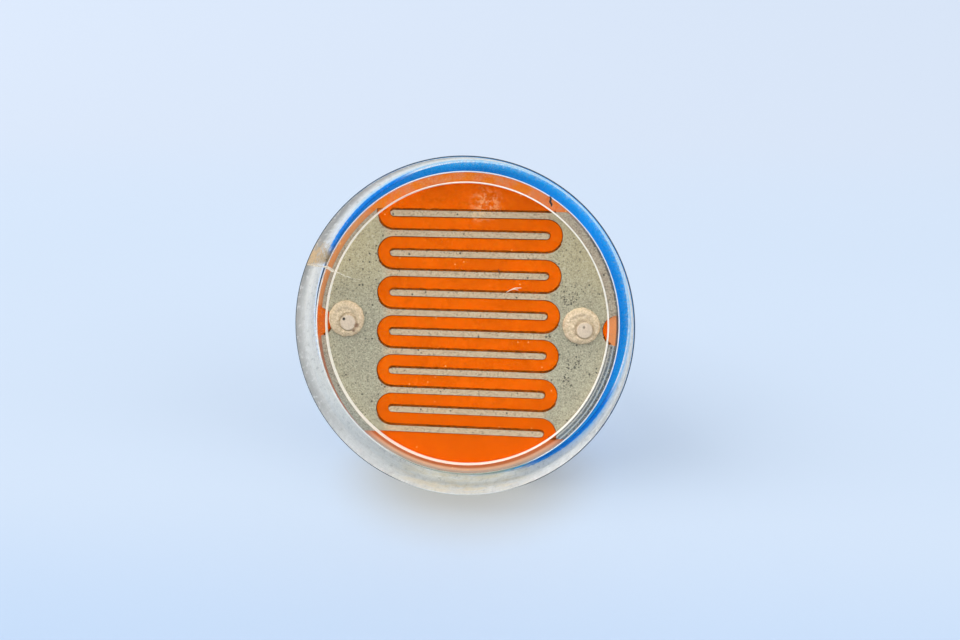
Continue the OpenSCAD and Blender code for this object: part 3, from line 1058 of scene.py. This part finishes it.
class PHOTOCELL_OT_contacts(bpy.types.Operator):
    """Dabs of cement on the leads' ends: a flat dab with a rounded, uneven edge, a boss over the lead with a
    groove round it, and a small pit. The height is a function of the place on the face."""

    bl_idname = "photocell.contacts"
    bl_label = "Contacts"

    def execute(self, context):
        sizes = in_millimetres(context.scene.cell_sizes)
        cement = cement_finish(context.scene.cell_colours)
        for name, side, seed, pit in (("left", -1.0, 5, PIT_LEFT), ("right", 1.0, 8, PIT_RIGHT)):
            piece = shell("dab_" + name, self.dab(sizes.dab_radius, side, seed, pit), 50.0)
            finished(piece, cement, "cream_cement", "contact_" + name)
        return {"FINISHED"}

    def dab(self, radius, side, seed, pit):
        """Rings of points from the middle of a dab to its foot. The height above the film is the dab's
        thickness with a round edge and small lumps. Near the lead it blends into the boss, less the groove
        and the pit."""
        steps = 144
        angle = ring(steps)
        outer = radius * (1 + 0.018 * wander(steps, seed, 5, 2))
        share = np.concatenate([np.linspace(0, 0.72, 40), np.linspace(0.72, 1.0, 25)[1:]])[:, None]
        radius = share * outer
        lead = side * LEAD_X
        x = lead + DAB_SHIFT[0] + radius * np.cos(angle)
        y = DAB_SHIFT[1] + radius * np.sin(angle)
        edge = np.clip((radius - (outer - DAB_THICKNESS)) / DAB_THICKNESS, 0, 1)
        height = DAB_THICKNESS * np.sqrt(1 - edge ** 2)
        lumps = 0.006 * np.sin(9 * angle + 7 * share * side) + 0.004 * np.sin(17 * angle - 11 * share)
        height += (lumps + 0.012 * np.sin(20 * share)) * (1 - edge ** 2)
        gap = np.hypot(x - lead, y)
        on_boss = rise(gap, 0.37, 0.31)
        boss = FILM_FRONT - DAB_FRONT - 0.008 - 0.02 * (gap / 0.34) ** 2
        height = height * (1 - on_boss) + boss * on_boss
        height -= 0.03 * np.exp(-((gap - 0.40) / 0.03) ** 2)
        height -= 0.035 * np.exp(-((x - lead - pit[0]) ** 2 + (y - pit[1]) ** 2) / 0.045 ** 2)
        top = np.stack([x, y, FILM_FRONT - np.maximum(height, 0.0)], -1)
        foot = np.stack([x[-1], y[-1], np.full(steps, FILM_FRONT + 0.01)], -1)[None]
        return np.concatenate([top, foot])


class PHOTOCELL_OT_leads(bpy.types.Operator):
    """Straight tinned leads: a round section carried along the lead, from inside the cement to a cut end
    that is nipped to a blunt wedge."""

    bl_idname = "photocell.leads"
    bl_label = "Leads"

    def execute(self, context):
        tinned = wire_finish(context.scene.cell_colours)
        radius = in_millimetres(context.scene.cell_sizes).wire_radius
        steps = 48
        angle = ring(steps)
        hidden = FILM_FRONT - 0.12
        depth = np.concatenate([[hidden], np.linspace(hidden + 0.05, LEAD_BACK - 0.6, 60),
                                np.linspace(LEAD_BACK - 0.55, LEAD_BACK - 0.02, 14), [LEAD_BACK]])
        nip = 1 - 0.55 * rise(depth, LEAD_BACK - 0.5, LEAD_BACK) ** 1.5
        for name, side in (("left", -1.0), ("right", 1.0)):
            points = np.empty((len(depth), steps, 3))
            points[..., 0] = side * LEAD_X + radius * nip[:, None] * np.cos(angle)
            points[..., 1] = radius * np.sin(angle)
            points[..., 2] = depth[:, None]
            finished(shell("wire_" + name, points, 40.0), tinned, "tinned_wire", "lead_" + name)
        return {"FINISHED"}


class PHOTOCELL_OT_resin(bpy.types.Operator):
    """Blue resin that closes the back: a section turned round the axis. It clings to the cap's wall except
    at the lower left, and its back sinks a little and climbs round the leads."""

    bl_idname = "photocell.resin"
    bl_label = "Resin"

    def execute(self, context):
        sizes = in_millimetres(context.scene.cell_sizes)
        outer, rim_end = sizes.resin_radius, sizes.cap_depth
        steps = 480
        angle = ring(steps)
        around = np.degrees(angle)
        loose = rise(around, 180, 196) * rise(around, 292, 278)
        wall = sizes.seat_radius + 0.01 - 0.05 * loose
        ones = np.ones(steps)
        front, over_rim = DISC_BACK + 0.005, rim_end + FACE_GAP
        rounding = RESIN_BACK - rim_end
        corner = quarter(outer - rounding, over_rim, rounding - FACE_GAP, 0, 90)
        rings = np.linspace(outer - rounding, 0, 90)[1:]
        radius = [0 * ones, wall, wall, outer * ones]
        radius += [part * ones for part in (*corner[1:, 0], *rings)]
        depth = [part * ones for part in (front, front, over_rim, over_rim, *corner[1:, 1])]
        depth += [self.back(part, angle) for part in rings]
        piece = turned("resin_back", np.array(radius), np.array(depth), steps, 40.0)
        finished(piece, resin_finish(context.scene.cell_colours), "blue_resin", "potting")
        return {"FINISHED"}

    def back(self, radius, angle):
        """Depth of the resin's back: level, less a shallow sink with slow waves, plus a collar at a lead."""
        x, y = radius * np.cos(angle), radius * np.sin(angle)
        inside = rise(radius, 6.5, 5.0)
        depth = RESIN_BACK - inside * (0.07 + 0.02 * np.sin(0.9 * x + 1.3) * np.cos(0.7 * y - 0.4))
        for side in (-1.0, 1.0):
            gap = np.hypot(x - side * LEAD_X, y)
            depth = depth + 0.42 * np.exp(-np.maximum(gap - LEAD_RADIUS, 0) / 0.24)
        return depth


class PHOTOCELL_OT_fibres(bpy.types.Operator):
    """Fine fibres: a dark hair on the window, and two pale fibres and a dark thread on the film. Each is a
    round section along its line."""

    bl_idname = "photocell.fibres"
    bl_label = "Fibres"

    def execute(self, context):
        dark = fibre_finish("dark_hair", HAIR_DARK)
        pale = fibre_finish("pale_fibre", FIBRE_PALE)
        film = FILM_FRONT
        self.fibre("hair_on_window", [(3.38, 5.40), (3.44, 5.31), (3.40, 5.20), (3.47, 5.09), (3.46, 5.01)],
                   -0.045, 0.045, dark)
        self.fibre("fibre_on_film", [(1.70, 1.46), (1.86, 1.56), (2.06, 1.65), (2.32, 1.67)],
                   film - 0.018, 0.020, pale)
        self.fibre("fibre_beside", [(1.92, 1.60), (2.06, 1.60), (2.20, 1.57)], film - 0.016, 0.012, pale)
        self.fibre("thread_on_film", [(1.33, 2.45), (1.37, 2.34), (1.42, 2.20)], film - 0.016, 0.018, dark)
        return {"FINISHED"}

    def fibre(self, name, line, depth, thickness, material):
        """A round section along a line on the face, with a radius that falls off towards both ends."""
        line = resampled(np.array(line, float), 0.02)
        angle = ring(8)
        taper = (thickness * np.sin(np.linspace(0.25, math.pi - 0.25, len(line))) ** 0.5)[:, None]
        piece = carried(name, line, depth, taper * np.cos(angle), taper * np.sin(angle))
        piece.data.materials.append(material)
        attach(piece, BODY)


class PHOTOCELL_PT_panel(bpy.types.Panel):
    """Sizes, colours and stage, and a button for each piece."""

    bl_idname = "PHOTOCELL_PT_panel"
    bl_label = "Photoresistor"
    bl_space_type = "VIEW_3D"
    bl_region_type = "UI"
    bl_category = "Photoresistor"

    def draw(self, context):
        scene = context.scene
        for group in (scene.cell_sizes, scene.cell_colours, scene.cell_stage):
            box = self.layout.box()
            for name in group.__annotations__:
                box.prop(group, name)
        for operator in OPERATORS:
            self.layout.operator(operator.bl_idname)


GROUPS = {"cell_sizes": CellSizes, "cell_colours": CellColours, "cell_stage": StageSettings}
OPERATORS = (
    PHOTOCELL_OT_stage, PHOTOCELL_OT_resin, PHOTOCELL_OT_leads, PHOTOCELL_OT_disc, PHOTOCELL_OT_electrodes,
    PHOTOCELL_OT_contacts, PHOTOCELL_OT_fibres, PHOTOCELL_OT_crack, PHOTOCELL_OT_cap,
)


def register():
    for made in (*GROUPS.values(), *OPERATORS, PHOTOCELL_PT_panel):
        bpy.utils.register_class(made)
    for name, group in GROUPS.items():
        setattr(bpy.types.Scene, name, bpy.props.PointerProperty(type=group))


def unregister():
    for name in GROUPS:
        delattr(bpy.types.Scene, name)
    for made in (PHOTOCELL_PT_panel, *reversed(OPERATORS), *reversed(GROUPS.values())):
        bpy.utils.unregister_class(made)


def main():
    register()
    bpy.ops.photocell.stage()
    bpy.ops.photocell.resin()
    bpy.ops.photocell.leads()
    bpy.ops.photocell.disc()
    bpy.ops.photocell.electrodes()
    bpy.ops.photocell.contacts()
    bpy.ops.photocell.fibres()
    bpy.ops.photocell.crack()
    bpy.ops.photocell.cap()


if __name__ == "__main__":
    main()
